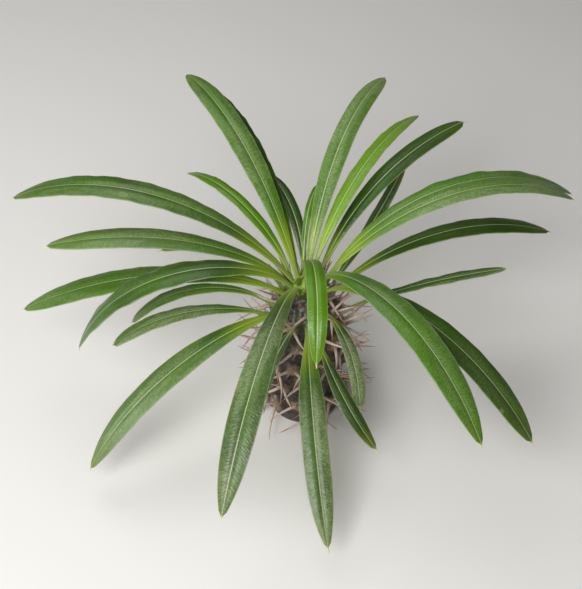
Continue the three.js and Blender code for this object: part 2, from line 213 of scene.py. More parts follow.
# The fine blade: rings along it, and places across each half, those by the midrib in millimetres.
RINGS_PER_STEP = 2
RIB_PLACES = (0, 0.35, 0.7, 1.15, 1.8)
RIB_LIMITS = (0, 0.05, 0.1, 0.16, 0.22)
BLADE_PLACES = (0.3, 0.4, 0.5, 0.6, 0.7, 0.8, 0.88, 0.94, 0.98, 1)
MARGIN_TURNS = (55, 28, 0, -28, -55)
MARGIN_LIMIT = 1.2
RIB_RISE = 0.4
RIB_LEAST = 0.25
RIB_WIDTH = 0.55
STALK_RIB = 1.4
GROOVE_WIDTH = 1.5
UNDER_GROOVE_WIDTH = 3
KEEL_WIDTH = 1.6
STALK_KEEL = 2.2
OUTER_ROUNDING = 1.35
# The cusp is the dry point that the blade ends in. It curls under and aside by up to these degrees.
CUSP_LENGTH = 8
CUSP_RINGS = 12
CUSP_HALF_WIDTH = 0.85
CUSP_THINNING = 0.6
CUSP_HOLLOW = 1.6
CUSP_CURL = 55
CUSP_HOOK = 45
# The margins wave between these shares of the length, most at the edge. Each edge has its own two waves,
# as waves in one length and height, and leaves differ in both by these factors.
WAVES_START = 0.12
WAVES_END = 0.98
WAVE_GROWTH = 2.5
LEFT_WAVES = ((1, 1), (2.3, 0.5))
RIGHT_WAVES = ((1.1, 1), (2.1, 0.5))
WAVE_HEIGHTS = (0.4, 1.4)
WAVE_LENGTHS = (0.8, 1.3)
# Between the side veins the blade swells a little: the height, the swells in one wave, and their slant.
QUILT_HEIGHT = 0.04
QUILT_TURNS = 6.1
QUILT_SLANT = 3
# Each leaf's pattern is read from its own stretch, further along than the longest leaf.
PATTERN_STRETCH = 400

# ---- The bud's sizes ----

BUD_LEAFLETS = 4
BUD_LENGTH = 19
BUD_SHORTENING = 0.13
BUD_LEAN = 15
BUD_FOOT = 0.6
BUD_TURN = 30
BUD_WIDTH = 3
BUD_THICKNESS = 1.6
BUD_SHARES = (-0.25, 0.3, 0.75, 1)
BUD_WIDTHS = (0.9, 1, 0.7, 0.15)
BUD_RINGS = 16
BUD_SIDES = 14
BUD_FOLD = 0.3
BUD_FOLD_WIDTH = 0.6
# Where a leaflet's foot lies on a leaf's length, for its colour, and how much of that length it shows.
BUD_FOOT_SHARE = 0.22
BUD_SHOWN_SHARE = 0.5
# A leaflet shows half of a rolled blade: how far its pattern spreads, where it starts, and its margin.
BUD_PATTERN_SPREAD = 1.6
BUD_PATTERN_START = 1.2
BUD_MARGIN = 0.4

# ---- The patterns' sizes ----

# Patches on a leaf, across it and along it.
LEAF_CLOUD = (9, 60)
WAX_PATCH = (16, 75)
DRIED_DROP = (26, 38)
# Side veins: how far they run on towards the tip for each millimetre across, and how they wander.
VEIN_SLANT = 0.55
VEIN_WANDER = 3.5
VEIN_WANDER_LENGTH = 6
LEATHER_GRAIN = 1.6
SPECK_SPACING = 9
CELL_RELIEF = 0.09
LEATHER_RELIEF = 0.12
STALK_RIB_WIDENING = 1.7
BARK_PATCH = 12
BARK_CRACK = 4.5
CRACK_FLATNESS = 2.6
CRACK_RELIEF = 0.5
BARK_GRAIN = 0.9
GRAIN_RELIEF = 0.06
HORN_STREAK = 1.5
STREAK_RELIEF = 0.1
WOOL_PATCH = 3

# ---- The stage's places, in metres ----

CAMERA_TARGET = (-0.012, 0.0, 0.130)
CAMERA_DISTANCE = 1.1
CAMERA_ELEVATION = 45
FRAME_SIZE = (582, 589)
PIXELS_PER_METRE = 1205
SENSOR = 36
FLOOR_REACH = 16
LIGHT_TARGET = (0, 0, 0.1)
KEY_LIGHT = {"width": 0.7, "place": (-0.35, -1.0, 1.1)}
SIDE_LIGHT = {"width": 0.7, "place": (-1.4, -0.15, 0.5)}
RIM_LIGHT = {"width": 1.0, "place": (-0.4, 0.5, 1.45)}


# ---- Small helpers ----

def linear(code):
    """An sRGB hex colour as linear red, green, blue and alpha."""
    parts = [int(code[i:i + 2], 16) / 255 for i in (1, 3, 5)]
    return (*(p / 12.92 if p <= 0.04045 else ((p + 0.055) / 1.055) ** 2.4 for p in parts), 1.0)


def mix(a, b, share):
    """The value that lies a share of the way from a to b."""
    return a + (b - a) * share


def bump(distance, width):
    """A smooth bump of height 1 that is spent a few widths away."""
    return np.exp(-(distance / width) ** 2)


def unit(vector):
    """A vector's way, one unit long."""
    return vector / np.linalg.norm(vector)


def direction(azimuth, elevation):
    """Unit vectors at azimuths and elevations in radians."""
    azimuth, elevation = np.broadcast_arrays(azimuth, elevation)
    level = np.cos(elevation)
    return np.stack([level * np.cos(azimuth), level * np.sin(azimuth), np.sin(elevation)], -1)


def random_stream(seed):
    """A repeatable stream of numbers from 0 to 1."""
    state = seed
    while True:
        state = (state * 1664525 + 1013904223) % 4294967296
        yield state / 4294967296


def spline(points, steps):
    """Points along a uniform Catmull-Rom spline through the given ones."""
    points = np.array(points, float)
    last = len(points) - 1
    place = np.linspace(0, last, steps + 1)
    i = np.minimum(place.astype(int), last)
    w = (place - i)[:, None]
    p0, p1 = points[np.maximum(i - 1, 0)], points[i]
    p2, p3 = points[np.minimum(i + 1, last)], points[np.minimum(i + 2, last)]
    v0, v1 = (p2 - p0) / 2, (p3 - p1) / 2
    cubic = (2 * p1 - 2 * p2 + v0 + v1) * w ** 3
    return cubic + (-3 * p1 + 3 * p2 - 2 * v0 - v1) * w ** 2 + v0 * w + p1


def loft(rings):
    """A closed skin over equal rings, its ends closed by fans. The columns past x, y, z go along."""
    count, sides, columns = rings.shape
    points = np.concatenate([rings.reshape(-1, columns), [rings[0].mean(0)], [rings[-1].mean(0)]])
    first = np.arange(count - 1)[:, None] * sides
    here, after = np.arange(sides), (np.arange(sides) + 1) % sides
    quads = np.stack([first + here, first + after, first + sides + after, first + sides + here], -1)
    low, high = count * sides, count * sides + 1
    top = (count - 1) * sides
    fans = [(low, j, i) for i, j in zip(here.tolist(), after.tolist())]
    fans += [(high, top + i, top + j) for i, j in zip(here.tolist(), after.tolist())]
    return points, quads.reshape(-1, 4).tolist() + fans


def joined(shapes):
    """Several skins as one."""
    points, faces, start = [], [], 0
    for some_points, some_faces in shapes:
        points.append(some_points)
        faces += [tuple(i + start for i in face) for face in some_faces]
        start += len(some_points)
    return np.concatenate(points), faces


def tube_rings(path, radii, sides, columns):
    """Round rings along a path in millimetres, with the same extra columns round each ring."""
    path = np.array(path, float)
    ways = np.gradient(path, axis=0)
    rings = []
    for place, way, radius, extra in zip(path, ways, radii, columns):
        way = unit(way)
        across = unit(np.cross(way, (0.31, 0.22, 0.93)))
        turns = np.arange(sides) * 2 * math.pi / sides
        circle = np.outer(np.cos(turns), across) + np.outer(np.sin(turns), np.cross(way, across))
        rings.append(np.concatenate([place + radius * circle, np.tile(extra, (sides, 1))], 1))
    return np.array(rings)


def add_piece(name, shape, layers, material, node):
    """Makes a piece of the plant from a skin in millimetres, riding on the body in a node's place."""
    points, faces = shape
    mesh = bpy.data.meshes.new(name)
    mesh.from_pydata((points[:, :3] * MM).tolist(), [], faces)
    mesh.polygons.foreach_set("use_smooth", [True] * len(faces))
    for i, layer in enumerate(layers):
        values = np.ascontiguousarray(points[:, 3 + 3 * i:6 + 3 * i], np.float32)
        mesh.attributes.new(layer, "FLOAT_VECTOR", "POINT").data.foreach_set("vector", values.ravel())
    shell = bmesh.new()
    shell.from_mesh(mesh)
    bmesh.ops.recalc_face_normals(shell, faces=shell.faces)
    shell.to_mesh(mesh)
    shell.free()
    mesh.materials.append(material)
    piece = bpy.data.objects.new(name, mesh)
    bpy.context.scene.collection.objects.link(piece)
    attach(piece, BODY)
    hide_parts(node)
    return piece


# ---- The stem's form ----

STEM_OUTLINE = spline(STEM_PROFILE, STEM_LEVELS)
CROWN = [
    ((k + CROWN_TURN) * GOLDEN_ANGLE, mix(CROWN_LOWEST, CROWN_TOP, (k + 1) / CROWN_PAIRS))
    for k in range(CROWN_PAIRS)
]
CUSHIONS = [(math.radians(leaf["base"]), leaf["z"], CUSHION_HEIGHT, CUSHION_SPREAD) for leaf in LEAVES]


def stray_knobs():
    """Knobs that climb the stem near the golden angle: azimuth, height on the stem, size out and spread."""
    stream = random_stream(SEED)

    def stray(most):
        return (next(stream) - 0.5) * 2 * most

    knobs = []
    for k in range(KNOB_COUNT):
        azimuth = k * GOLDEN_ANGLE + math.radians(stray(KNOB_STRAY["turn"]))
        z = mix(KNOB_TOP, KNOB_LOWEST, k / (KNOB_COUNT - 1)) + stray(KNOB_STRAY["rise"])
        shrink = min(max((z - KNOB_SHRINKS) / (KNOB_TOP - KNOB_SHRINKS), 0), 1)
        share = mix(1, KNOB_TOP_SHARE, shrink) * (1 + stray(KNOB_STRAY["size"]))
        knobs.append((azimuth, z, KNOB_HEIGHT * share, KNOB_SPREAD * share))
    return knobs


KNOBS = stray_knobs()


def stem_radius(z):
    """The smooth stem's radius at a height."""
    return np.interp(z, STEM_OUTLINE[:, 1], STEM_OUTLINE[:, 0])


def skin_distance(azimuth, z, radius, spot):
    """How far over the skin points lie from a spot, across and up, in millimetres."""
    turn = azimuth - spot[0]
    return np.arctan2(np.sin(turn), np.cos(turn)) * radius, z - spot[1]


def stem_relief(azimuth, z, radius):
    """How far the knobs and cushions stand out of the smooth stem."""
    relief = np.zeros(np.broadcast(azimuth, z, radius).shape)
    for *spot, height, spread in KNOBS + CUSHIONS:
        away = np.hypot(*skin_distance(azimuth, z, radius, spot))
        relief = np.maximum(relief, height * bump(away, spread))
    return relief


# ---- The leaves' form ----

def half_width(leaf, t):
    """Half the blade's width at shares t of the leaf's length."""
    opened = np.clip((t - BLADE_STARTS) / (leaf["opens"] - BLADE_STARTS), 0, 1)
    opening = np.sin(math.pi / 2 * opened) ** BLADE_OPENING
    closing = np.clip((t - BLADE_CLOSES) / (1 - BLADE_CLOSES), 0, 1) ** leaf["blunt"]
    return leaf["width"] / 2 * mix(STALK_WIDTH_SHARE, 1, opening) * np.maximum(1 - closing, TIP_SHARE)


def leaf_ways(leaf, t):
    """The ways along, across and up from a leaf at shares t of its length."""
    heading = np.radians(leaf["az"] + leaf["sweep"] * t ** SWEEP_DELAY)
    elevation = np.radians(mix(leaf["rise"], leaf["droop"], t ** leaf["bend"]))
    along = direction(heading, elevation)
    across = np.stack([-np.sin(heading), np.cos(heading), np.zeros_like(heading)], -1)
    return along, across, np.cross(along, across)


def leaf_places(leaf):
    """The midrib's places, one step of the leaf's length apart."""
    start = direction(math.radians(leaf["base"]), 0) * stem_radius(leaf["z"]) + (0, 0, leaf["z"])
    halfway = (np.arange(LEAF_STEPS) + 0.5) / LEAF_STEPS
    steps = leaf_ways(leaf, halfway)[0] * (leaf["length"] / LEAF_STEPS)
    return np.concatenate([[start], start + np.cumsum(steps, axis=0)])


def leaf_frames():
    """Every leaf's frames in one set of arrays, for telling what is clear of the leaves."""
    t = np.arange(LEAF_STEPS + 1) / LEAF_STEPS
    rows = []
    for leaf in LEAVES:
        along, across, up = leaf_ways(leaf, t)
        reach = np.full((len(t), 1), leaf["length"] / LEAF_STEPS)
        half = half_width(leaf, t)[:, None]
        drop = np.full((len(t), 1), MARGIN_DROP * leaf["width"])
        rows.append(np.concatenate([leaf_places(leaf), along, across, up, reach, half, drop], 1))
    return np.concatenate(rows)


LEAF_FRAMES = leaf_frames()


def clear_of_leaves(point, margin):
    """True where a point is clear of every leaf by the given margin."""
    offset = point - LEAF_FRAMES[:, :3]
    along = np.einsum("ij,ij->i", offset, LEAF_FRAMES[:, 3:6])
    across = np.einsum("ij,ij->i", offset, LEAF_FRAMES[:, 6:9])
    up = np.einsum("ij,ij->i", offset, LEAF_FRAMES[:, 9:12])
    reach, half, drop = LEAF_FRAMES[:, 12:].T
    beside = np.abs(across) > half + margin
    over = up > drop + margin
    under = -up > STALK_THICKNESS + KEEL_DEPTH + margin
    return bool(np.all((np.abs(along) > reach) | beside | over | under))


# ---- The spines' form ----

def spine_path(azimuth, z, way, length, bow):
    """A spine's skin point, bowed middle and tip, and the way it starts."""
    radius = stem_radius(z) + stem_relief(azimuth, z, stem_radius(z))
    skin = direction(azimuth, 0) * (radius - SKIN_DEPTH) + (0, 0, z)
    tip = skin + way * length
    sideways = unit(np.cross((0, 0, 1), way))
    return {"skin": skin, "middle": (skin + tip) / 2 + sideways * bow * length, "tip": tip, "way": way}


def spine_is_clear(path):
    """True where a spine is clear of the ground and of every leaf."""
    halves = (("skin", "middle"), ("middle", "tip"))
    checks = [mix(path[a], path[b], s) for a, b in halves for s in SPINE_CHECKS]
    return path["tip"][2] > SPINE_FLOOR and all(clear_of_leaves(p, SPINE_CLEARANCE) for p in checks)


def spines_at(spot, kind, stream):
    """Draws spines on a spot until each one is clear of the leaves and the ground, or the tries run out.

    They stand up more towards the crown.
    """
    def scatter(most):
        return (next(stream) - 0.5) * 2 * most

    azimuth, z = spot[:2]
    lift = CROWN_LIFT * min(max((z - CROWN_LOWEST) / (CROWN_TOP - CROWN_LOWEST), 0), 1)
    paths = []
    for side, tilt in zip(kind["sides"], kind["tilts"]):
        root_azimuth = azimuth + np.sign(side) * ROOT_SPACING / stem_radius(z)
        root_z = z + (ROOT_SPACING if side == 0 else 0)
        for attempt in range(SPINE_TRIES):
            most = SPINE_SCATTER * (1 + attempt / SPINE_TRIES)
            heading = azimuth + math.radians(side + scatter(most))
            rise = math.radians(tilt + lift + scatter(most))
            length = mix(kind["shortest"], kind["longest"], next(stream))
            path = spine_path(root_azimuth, root_z, direction(heading, rise), length, scatter(SPINE_BOW))
            if spine_is_clear(path):
                paths.append({**path, "crown": float(kind is CROWN_SPINES)})
                break
    return paths


def all_spines():
    """Every spine of the plant: threes on the knobs, and pairs between the leaf bases round the crown."""
    stream = random_stream(SEED)
    on_knobs = [path for spot in KNOBS for path in spines_at(spot, KNOB_SPINES, stream)]
    return on_knobs + [path for spot in CROWN for path in spines_at(spot, CROWN_SPINES, stream)]


SPINES = all_spines()


# ---- What a user can change ----

def size(name, description, millimetres):
    """A length that a user can change."""
    return FloatProperty(name=name, description=description, default=millimetres * MM, min=0,
                         precision=5, unit="LENGTH")


def colour(name, description, code):
    """A colour that a user can change, from its sRGB hex code."""
    return FloatVectorProperty(name=name, description=description, default=linear(code), size=4,
                               min=0, max=1, subtype="COLOR")


class PalmStemSettings(bpy.types.PropertyGroup):
    crease_depth: size("Crease depth", "How deep the folds between the knobs are", 1.3)
    wrinkle_height: size("Wrinkle height", "How far the bark's wrinkles stand out", 0.7)
    wrinkle_length: size("Wrinkle length", "How long a wrinkle of the bark is", 11.0)
    pad_height: size("Pad height", "How far the pad round a spine's root stands out", 1.3)
    wool_length: size("Wool length", "Length of the hairs round the spines' roots", 1.3)
    bark: colour("Bark", "Cork on the flanks of the knobs", "#443423")
    # Pale cork on the knobs' crowns: worn in patches, and partly a painted highlight.
    bark_worn_and_highlit: colour("Worn bark", "Cork on the crowns of the knobs", "#7c684e")
    # Near-black painted shade for the bark's cracks and for the folds between the knobs.
    crease: colour("Crease", "Bottom of the folds", "#17110c")
    green_bark: colour("Green bark", "Young skin in the folds below the leaves", "#46501c")
    growing_tip: colour("Growing tip", "Youngest skin between the leaf bases", "#8fae24")
    # Pale pad round a spine's root: paler than the cork, partly as a painted glint.
    pad: colour("Pad", "Worn pale pad round a spine's root", "#a3937f")
    wool: colour("Wool", "Hairs round the spines' roots", "#8f8474")


class PalmSpineSettings(bpy.types.PropertyGroup):
    root_radius: size("Root radius", "Radius of a spine where it leaves the skin", 1.4)
    tip_radius: size("Tip radius", "Radius of a spine at its point", 0.14)
    old_spine: colour("Old spine", "Weathered middle of a spine", "#d8c3b5")
    spine_root: colour("Spine root", "Foot of a spine", "#93806f")
    spine_tip: colour("Spine tip", "Horny point of a spine", "#a2562f")
    crown_spine: colour("Crown spine", "Young spines between the leaf bases", "#6d4a3b")


class PalmLeafSettings(bpy.types.PropertyGroup):
    rib_width: size("Midrib width", "Width of the pale midrib on the blade", 0.65)
    vein_spacing: size("Vein spacing", "Distance between side veins along the leaf", 2.3)
    wave_height: size("Wave height", "How far the margin waves up and down", 0.3)
    wave_length: size("Wave length", "Distance between two waves of the margin", 34.0)
    cell_length: size("Cell length", "Length of the raised cells between the side veins", 9.0)
    blade: colour("Blade", "Green of a grown leaf", "#4c7a0c")
    deep_blade: colour("Deep blade", "Darker green of a grown leaf", "#264204")
    young_blade: colour("Young blade", "Green of a young leaf", "#70a006")
    deep_young_blade: colour("Deep young blade", "Darker green of a young leaf", "#4f7a04")
    # Grey-green of the wax bloom, also used as painted sheen.
    bloom_and_sheen: colour("Bloom", "Grey wax film on the blade", "#9ca87c")
    rib: colour("Midrib", "Pale midrib", "#b4c294")
    stalk: colour("Stalk", "Yellow-green stalk", "#92ac18")
    yellowed: colour("Yellowed tip", "Last stretch of an old leaf", "#9c9a2c")
    underside: colour("Underside", "Dull lower face of the blade", "#5a7a33")
    cusp: colour("Cusp", "Dry curled point of the leaf", "#d6cc8a")


class PalmStageSettings(bpy.types.PropertyGroup):
    floor: colour("Floor", "Plain floor", "#e6e4e0")
    key_power: FloatProperty(name="Key light", description="Power of the large soft light in front",
                             default=19, min=0, unit="POWER")
    side_power: FloatProperty(name="Side light", description="Power of the soft light on the left",
                              default=9, min=0, unit="POWER")
    rim_power: FloatProperty(name="Rim light", description="Power of the soft light behind",
                             default=6, min=0, unit="POWER")
    sky_strength: FloatProperty(name="Sky", description="Strength of the even light all round",
                                default=0.1, min=0, subtype="FACTOR")
    sky_colour: colour("Sky colour", "Colour of the even light all round", "#f3f1ec")


# ---- Materials ----

def add_node(tree, kind, sockets=None, out=0, **settings):
    """Adds a shader node with its settings and links, and gives back one output, or the node if out is None.

    A socket is set, or linked where its value is a socket itself. Sockets go by identifier or by index.
    """
    def chosen(among, key):
        return among[key] if isinstance(key, int) else next(s for s in among if s.identifier == key)

    node = tree.nodes.new("ShaderNode" + kind)
    for name, value in settings.items():
        setattr(node, name, value)
    for key, value in (sockets or {}).items():
        socket = chosen(node.inputs, key)
        if isinstance(value, bpy.types.NodeSocket):
            tree.links.new(value, socket)
        else:
            socket.default_value = value
    return node if out is None else chosen(node.outputs, out)


def new_material(name):
    """An empty node material, and a maker of its nodes."""
    material = bpy.data.materials.new(name)
    material.use_nodes = True
    material.node_tree.nodes.clear()
    return material, partial(add_node, material.node_tree)


def gated(node, amount, *gates):
    """An amount cut down by gates.

    Each gate has the value that works it, where that shuts and opens it, and what it lets through shut.
    """
    for value, shut, opened, least in gates:
        gate = node("MapRange", {"Value": value, "From Min": shut, "From Max": opened, "To Min": least},
                    interpolation_type="SMOOTHSTEP")
        amount = node("Math", {0: amount, 1: gate}, operation="MULTIPLY")
    return amount


def painted(node, ground, coats):
    """A ground colour with coats over it.

    Each coat has its colour, the most of it, and its amount, or a value and where that starts and fills it.
    """
    for tint, most, amount, *ends in coats:
        if ends:
            amount = gated(node, 1.0, (amount, *ends, 0.0))
        amount = node("Math", {0: amount, 1: most}, operation="MULTIPLY")
        ground = node("Mix", {"Factor_Float": amount, "A_Color": ground, "B_Color": tuple(tint)},
                      "Result_Color", data_type="RGBA")
    return ground


def finish_material(node, **sockets):
    """Ends a material in its shader. Socket names have _ for a space."""
    named = {name.replace("_", " "): value for name, value in sockets.items()}
    shader = node("BsdfPrincipled", named)
    node("OutputMaterial", {"Surface": shader}, None)


def leaf_material(name, look, blade_colour, deep_colour):
    """Living leaf under a waxy cuticle: wax gives the broad soft sheen, and its thicker film looks grey. The
    grey film also paints sheen, and shade is painted in the grain's hollows and beside the midrib.
    """
    material, node = new_material(name)
    place = node("Attribute", None, "Vector", attribute_name="blade")
    across, along, edge = node("SeparateXYZ", {0: place}, None).outputs
    part = node("Attribute", None, "Vector", attribute_name="leaf")
    share, underside, _ = node("SeparateXYZ", {0: part}, None).outputs
    state = node("Attribute", None, "Vector", attribute_name="state")
    wax, depth, yellowing = node("SeparateXYZ", {0: state}, None).outputs
    aside = node("Math", {0: across}, operation="ABSOLUTE")
    cloud_place, patch_place, drop_place = (
        node("VectorMath", {0: place, 1: (1 / wide, 1 / long, 0)}, operation="MULTIPLY")
        for wide, long in (LEAF_CLOUD, WAX_PATCH, DRIED_DROP)
    )

    # The green has its own depth on each leaf, partly the leaf's own green and partly painted light and
    # shade, and clouds over slowly along the blade.
    slow = node("TexNoise", {"Vector": cloud_place, "Scale": 1.0, "Detail": 2.0})
    deep = node("Math", {0: depth, 1: 0.75, 2: slow}, operation="MULTIPLY_ADD")

    # Side veins leave the midrib about 60 degrees off it and part the surface into small raised cells.
    wander = node("TexNoise", {"Vector": place, "Scale": 1 / VEIN_WANDER_LENGTH, "Detail": 2.0})
    forward = node("Math", {0: aside, 1: -VEIN_SLANT, 2: along}, operation="MULTIPLY_ADD")
    forward = node("Math", {0: wander, 1: VEIN_WANDER, 2: forward}, operation="MULTIPLY_ADD")
    row = node("Math", {0: forward, 1: MM / look.vein_spacing}, operation="MULTIPLY")
    column = node("Math", {0: aside, 1: MM / look.cell_length}, operation="MULTIPLY")
    cells = node("CombineXYZ", {0: row, 1: column})
    cells = node("TexVoronoi", {"Vector": cells, "Scale": 1.0, "Randomness": 0.8},
                 feature="DISTANCE_TO_EDGE", voronoi_dimensions="2D")
    cell = gated(node, 1.0, (cells, 0.0, 0.3, 0.0))
    grain = node("TexNoise", {"Vector": place, "Scale": 1 / LEATHER_GRAIN, "Detail": 2.0, "Roughness": 0.5})

    # The grey film is real wax, and painted sheen as well. It lies thicker in patches, which end at a clear
    # edge where water has run and dried, thinner in the veins and the grain's hollows, and not on the stalk,
    # filling in only past it, where the painted sheen starts.
    patch = node("TexNoise", {"Vector": patch_place, "Scale": 1.0, "Detail": 3.0, "Roughness": 0.4})
    film_and_sheen = gated(node, wax, (patch, 0.46, 0.54, 0.45), (grain, 0.2, 0.7, 0.3), (cell, 0.0, 1.0, 0.65),
                 (share, 0.12, 0.45, 0.0))

    # Dried drops leave round marks with a pale outline.
    drops = node("TexVoronoi", {"Vector": drop_place, "Scale": 1.0, "Randomness": 0.9}, None)
    reach = node("Math", {0: drops.outputs["Color"], 1: 0.42, 2: -0.2}, operation="MULTIPLY_ADD")
    inside = node("Math", {0: reach, 1: drops.outputs["Distance"]}, operation="SUBTRACT")
    drop = gated(node, 1.0, (inside, 0.0, 0.015, 0.0))
    middle = gated(node, 1.0, (inside, 0.015, 0.05, 0.0))
    outline = node("Math", {0: drop, 1: middle}, operation="SUBTRACT")
    marks = node("Math", {0: outline, 1: 1.6, 2: drop}, operation="MULTIPLY_ADD")

    # A few pale specks are healed pricks, where the leaves rub against spines.
    pricks = node("TexVoronoi", {"Vector": place, "Scale": 1 / SPECK_SPACING, "Randomness": 1.0}, None)
    speck = gated(node, 1.0, (pricks.outputs["Distance"], 0.075, 0.04, 0.0),
                  (pricks.outputs["Color"], 0.9, 0.93, 0.0))

    # The midrib is pale. It widens and fades into the stalk, and fades a little to the tip.
    rib_half = look.rib_width / MM / 2
    rib_reach = node("MapRange", {"Value": share, "From Min": 0.3, "From Max": 0.0, "To Min": rib_half,
                                  "To Max": rib_half * STALK_RIB_WIDENING}, interpolation_type="SMOOTHSTEP")
    rib_edge = node("Math", {0: rib_reach, 1: aside}, operation="SUBTRACT")
    rib = gated(node, 1.0, (rib_edge, -0.14, 0.14, 0.0), (share, 0.0, 0.25, 0.35), (share, 1.0, 0.6, 0.65))

    # The green, its veins, and its grain's hollows darkened as painted shade, the grey film of wax and
    # painted sheen, the drop marks and specks, the yellower stalk, the last stretch of an old leaf and the
    # margin, the underside, the dark line beside the midrib, which is painted shade in its groove, the
    # midrib, and the dry cusp.
    green = painted(node, blade_colour, (
        # Each leaf's depth: partly its own green, partly painted light and shade.
        (deep_colour, 1.0, deep, 0.35, 1.25),
        (deep_colour, 0.2, cell, 1.0, 0.0),
        # Painted shade in the leather grain's hollows.
        (deep_colour, 0.2, grain, 0.6, 0.35),
        # The grey film: real wax bloom, and painted sheen on the leaves that catch the light.
        (look.bloom_and_sheen, 0.6, film_and_sheen),
        (look.bloom_and_sheen, 0.11, marks),
        (look.cusp, 0.7, speck),
        (look.stalk, 0.9, share, 0.3, 0.08),
        (look.yellowed, 0.7, gated(node, yellowing, (share, 0.8, 1.0, 0.0))),
        (look.rib, 0.3, edge, 0.96, 0.99),
        (look.underside, 0.8, underside),
        # Painted shade: a dark line in the groove beside the midrib.
        (deep_colour, 0.25, rib_edge, -0.9, -0.1),
        (look.rib, 0.8, rib),
        (look.cusp, 1.0, share, 1.15, 1.7),
    ))

    # The wax film, the underside and the grain each scatter the sheen a little more.
    rough = node("Math", {0: film_and_sheen, 1: 0.14, 2: 0.26}, operation="MULTIPLY_ADD")
    rough = node("Math", {0: underside, 1: 0.16, 2: rough}, operation="MULTIPLY_ADD")
    rough = node("Math", {0: grain, 1: 0.12, 2: rough}, operation="MULTIPLY_ADD")
    raised = node("Bump", {"Height": cell, "Distance": CELL_RELIEF * MM, "Strength": 1.0})
    leather = node("Bump", {"Height": grain, "Distance": LEATHER_RELIEF * MM, "Strength": 1.0,
                            "Normal": raised})
    finish_material(node, Base_Color=green, Roughness=rough, IOR=1.48, Specular_IOR_Level=0.45,
                    Sheen_Weight=0.05, Sheen_Roughness=0.4, Normal=leather)
    return material


def bark_material(look):
    """Corky bark: matt in its cracks and polished between them, so it glints, and green at the crown."""
    material, node = new_material("Corky bark")
    state = node("Attribute", None, "Vector", attribute_name="bark")
    relief, height, pad = node("SeparateXYZ", {0: state}, None).outputs
    place = node("TexCoord", None, "Object")
    flat = node("VectorMath", {0: place, 1: (1, 1, CRACK_FLATNESS)}, operation="MULTIPLY")
    patches = node("TexNoise", {"Vector": place, "Scale": 1 / (BARK_PATCH * MM), "Detail": 4.0})
    cracks = node("TexNoise", {"Vector": flat, "Scale": 1 / (BARK_CRACK * MM), "Detail": 5.0,
                               "Roughness": 0.62})
    grain = node("TexNoise", {"Vector": place, "Scale": 1 / (BARK_GRAIN * MM), "Detail": 3.0})

    # The knobs' crowns and the wrinkles' ridges are paler, partly worn in patches and partly a painted
    # highlight.
    # The cracks, and the folds between the knobs above the foot, are darkened with painted shade. Below the
    # leaves the skin is still green between the knobs, down to a ragged edge. At the tip it is green all
    # over, the growing tip's yellow-green on the cushions with a darker green between them as painted shade.
    # The pads are pale, partly as painted glints.
    # The crowns' mask: worn patches, and the relief, which places a painted highlight on the knobs.
    worn = node("Math", {0: patches, 1: 3.0, 2: relief}, operation="MULTIPLY_ADD")
    ragged = node("Math", {0: patches, 1: 26.0, 2: height}, operation="MULTIPLY_ADD")
    skin = painted(node, tuple(look.bark), (
        # Paler knob crowns: worn patches and a painted highlight.
        (look.bark_worn_and_highlit, 1.0, worn, 1.6, 4.6),
        # Painted shade in the cracks.
        (look.crease, 0.65, cracks, 0.48, 0.36),
        (look.green_bark, 0.9, gated(node, 1.0, (ragged, 106.0, 126.0, 0.0), (relief, 2.4, 0.2, 0.0))),
        # Painted shade in the folds between the knobs, weaker at the foot.
        (look.crease, 0.85, gated(node, 1.0, (relief, 0.9, -0.6, 0.0), (height, 2.0, 16.0, 0.2))),
        (look.green_bark, 1.0, height, 132.0, 143.0),
        # Yellow-green growing tip on the cushions, with the darker green left between them as painted shade.
        (look.growing_tip, 1.0, gated(node, 1.0, (height, 132.0, 143.0, 0.0), (relief, 0.3, 1.6, 0.0))),
        # Pale pads, partly painted glints.
        (look.pad, 0.7, pad),
    ))
    scaly = node("Bump", {"Height": cracks, "Distance": CRACK_RELIEF * MM, "Strength": 1.0})
    grainy = node("Bump", {"Height": grain, "Distance": GRAIN_RELIEF * MM, "Strength": 1.0, "Normal": scaly})
    polish = gated(node, 0.9, (cracks, 0.4, 0.55, 1 / 6))
    finish_material(node, Base_Color=skin, Roughness=0.6, IOR=1.5, Specular_IOR_Level=0.25, Normal=grainy,
                    Coat_Weight=polish, Coat_Roughness=0.1, Coat_Normal=scaly)
    return material


def spine_material(look):
    """Dead horny spine: weathered pinkish grey, red-brown where the point is still whole, a dull gloss."""
    material, node = new_material("Spine horn")
    state = node("Attribute", None, "Vector", attribute_name="spine")
    share, crown, number = node("SeparateXYZ", {0: state}, None).outputs
    place = node("TexCoord", None, "Object")
    streaks = node("TexNoise", {"Vector": place, "Scale": 1 / (HORN_STREAK * MM), "Detail": 3.0})
    each = node("TexWhiteNoise", {"W": number}, noise_dimensions="1D")

    # Each spine has weathered a different way down from its point.
    point = node("Math", {0: each, 1: 0.3, 2: share}, operation="MULTIPLY_ADD")
    horn = painted(node, tuple(look.spine_root), (
        (look.old_spine, 1.0, share, 0.05, 0.3),
        (look.crown_spine, 0.8, crown),
        (look.spine_tip, 0.9, point, 0.68, 1.12),
        (look.spine_root, 0.4, streaks, 0.58, 0.36),
    ))
    rough = gated(node, 0.55, (streaks, 0.3, 0.7, 0.655))
    worn = node("Bump", {"Height": streaks, "Distance": STREAK_RELIEF * MM, "Strength": 1.0})
    finish_material(node, Base_Color=horn, Roughness=rough, IOR=1.5, Specular_IOR_Level=0.7, Normal=worn)
    return material


